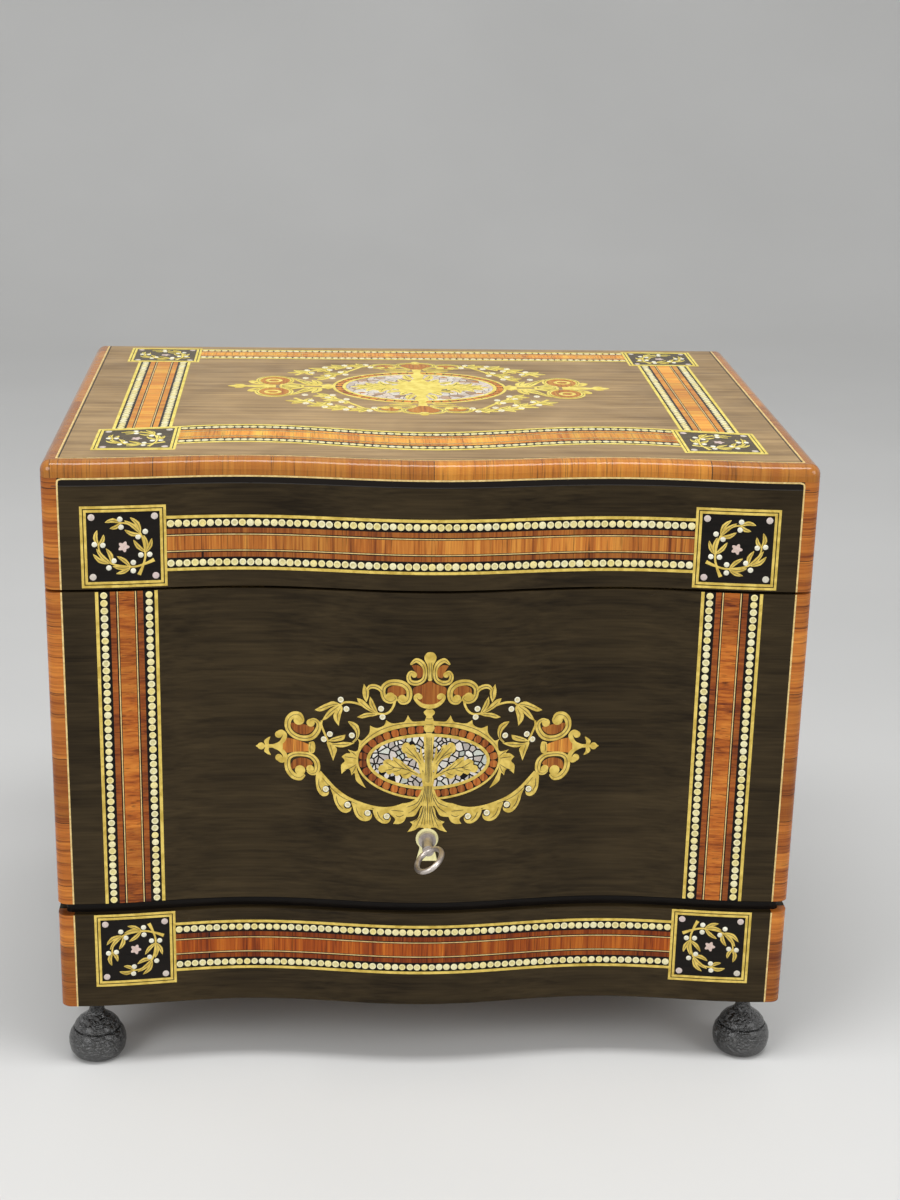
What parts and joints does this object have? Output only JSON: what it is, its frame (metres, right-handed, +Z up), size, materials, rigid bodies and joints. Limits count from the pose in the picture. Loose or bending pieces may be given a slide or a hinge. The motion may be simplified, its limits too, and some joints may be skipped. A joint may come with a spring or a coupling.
{
  "type": "liqueur cabinet",
  "caption": "Serpentine-fronted liqueur cabinet with a back-hinged lid, a front panel that folds under the lid, wing sides, a lock and a rack of square decanters and stemmed glasses.",
  "frame": {"origin": "on the floor, under the middle of the whole object's box, key and lid hinges included", "axes": "+Z up, the front with its keyhole faces -Y, +X to the viewer's right"},
  "size_m": [0.346, 0.2946, 0.2908],
  "materials": {
    "ebonised_wood": "french-polished ebonised pearwood veneer on an oak carcase",
    "rosewood": "french-polished rosewood",
    "marquetry": "marquetry of brass, rosewood, pearl, bone and ebonised wood, polished flush",
    "plain_wood": "waxed oak",
    "blackened_beech": "turned, ebonised and worn",
    "brass": "polished, aged",
    "steel": "worn iron key and lock",
    "glass": "clear blown and cut glass"
  },
  "bodies": {
    "case": {"base_board": "plain_wood", "plinth_front_rail": "ebonised_wood", "plinth_left_rail": "ebonised_wood", "plinth_right_rail": "ebonised_wood", "plinth_back_rail": "ebonised_wood", "plinth_corner_blocks": "plain_wood", "plinth_moulding": "ebonised_wood", "plinth_inlay": "marquetry", "case_edgings": "rosewood", "back_panel": "ebonised_wood", "strike_plate": "brass", "lid_hinge_case_leaves": "brass", "lid_hinge_pins": "brass", "left_hinge_case_leaves": "brass", "right_hinge_case_leaves": "brass", "rack_tray": "plain_wood", "rack_gallery": "brass", "rack_posts": "brass", "rack_handle": "brass", "front_left_foot": "blackened_beech", "front_right_foot": "blackened_beech", "back_left_foot": "blackened_beech", "back_right_foot": "blackened_beech", "front_left_decanter": "glass", "front_right_decanter": "glass", "back_left_decanter": "glass", "back_right_decanter": "glass", "left_outer_glasses": "glass", "left_inner_glasses": "glass", "right_inner_glasses": "glass", "right_outer_glasses": "glass"},
    "lid": {"lid_board": "ebonised_wood", "lid_edge_nosing": "rosewood", "lid_front_frieze": "ebonised_wood", "lid_left_frieze": "ebonised_wood", "lid_right_frieze": "ebonised_wood", "lid_back_frieze": "ebonised_wood", "lid_edgings": "rosewood", "lid_frieze_inlay": "marquetry", "lid_top_inlay": "marquetry", "lid_medallion": "marquetry", "lid_hinge_lid_leaves": "brass", "front_hinge_lid_leaves": "brass"},
    "front_panel": {"front_panel_board": "ebonised_wood", "front_edgings": "rosewood", "front_bands": "marquetry", "front_medallion": "marquetry", "front_hinge_panel_leaves": "brass", "escutcheon": "brass", "lock_case": "steel"},
    "key": {"key": "steel"},
    "bolt": {"lock_bolt": "steel"},
    "left_wing": {"left_wing_board": "ebonised_wood", "left_hinge_wing_leaves": "brass"},
    "right_wing": {"right_wing_board": "ebonised_wood", "right_hinge_wing_leaves": "brass"},
    "front_left_stopper": {"front_left_stopper": "glass"},
    "front_right_stopper": {"front_right_stopper": "glass"},
    "back_left_stopper": {"back_left_stopper": "glass"},
    "back_right_stopper": {"back_right_stopper": "glass"}
  },
  "joints": [
    {"name": "lid_hinge", "type": "hinge", "parent": "case", "child": "lid", "pos_m": [0, 0.14002, 0.2335], "axis": [-1, 0, 0], "range_deg": [0, 95]},
    {"name": "front_panel_hinge", "type": "hinge", "parent": "lid", "child": "front_panel", "pos_m": [0, -0.09568, 0.2335], "axis": [1, 0, 0], "range_deg": [0, 45]},
    {"name": "left_wing_hinge", "type": "hinge", "parent": "case", "child": "left_wing", "pos_m": [-0.1704, 0.12727, 0.15855], "axis": [0, 0, -1], "range_deg": [0, 100]},
    {"name": "right_wing_hinge", "type": "hinge", "parent": "case", "child": "right_wing", "pos_m": [0.1704, 0.12727, 0.15855], "axis": [0, 0, 1], "range_deg": [0, 100]},
    {"name": "key_turn", "type": "hinge", "parent": "front_panel", "child": "key", "pos_m": [0, -0.11348, 0.1164], "axis": [0, 1, 0], "range_deg": [0, 64]},
    {"name": "bolt_slide", "type": "slide", "parent": "front_panel", "child": "bolt", "axis": [0, 0, -1], "range_m": [0, 0.0055]},
    {"name": "front_left_stopper_lift", "type": "slide", "parent": "case", "child": "front_left_stopper", "axis": [0, 0, 1], "range_m": [0, 0.015]},
    {"name": "front_right_stopper_lift", "type": "slide", "parent": "case", "child": "front_right_stopper", "axis": [0, 0, 1], "range_m": [0, 0.015]},
    {"name": "back_left_stopper_lift", "type": "slide", "parent": "case", "child": "back_left_stopper", "axis": [0, 0, 1], "range_m": [0, 0.015]},
    {"name": "back_right_stopper_lift", "type": "slide", "parent": "case", "child": "back_right_stopper", "axis": [0, 0, 1], "range_m": [0, 0.015]}
  ],
  "couplings": [
    {"joint": "front_panel_hinge", "follows": "lid_hinge", "ratio": 0.45},
    {"joint": "key_turn", "follows": "bolt_slide", "rad_per_m": 203.09}
  ]
}
